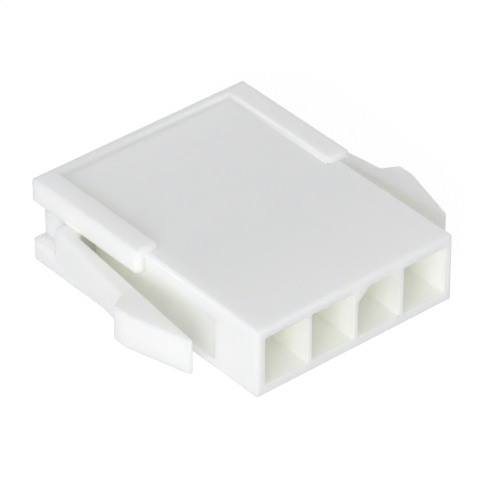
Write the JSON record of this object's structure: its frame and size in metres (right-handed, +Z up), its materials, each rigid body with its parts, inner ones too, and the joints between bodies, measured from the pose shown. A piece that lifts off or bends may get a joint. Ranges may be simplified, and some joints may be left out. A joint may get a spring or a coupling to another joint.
{
  "type": "rectangular connector housing",
  "caption": "Moulded nylon plug housing with a single row of square contact wells, a collar with a raised rim, and a flexing snap ear on each side for panel mounting.",
  "frame": {"origin": "under the middle of the housing, on the plane that its skirts rest on", "axes": "+X across the contact row, +Y from the mating end to the wire end, +Z up, towards the face with the raised rim"},
  "size_m": [0.0264, 0.024, 0.0072],
  "materials": {
    "nylon": "natural milky nylon, satin as moulded"
  },
  "bodies": {
    "root": {"housing": "nylon"}
  },
  "joints": []
}
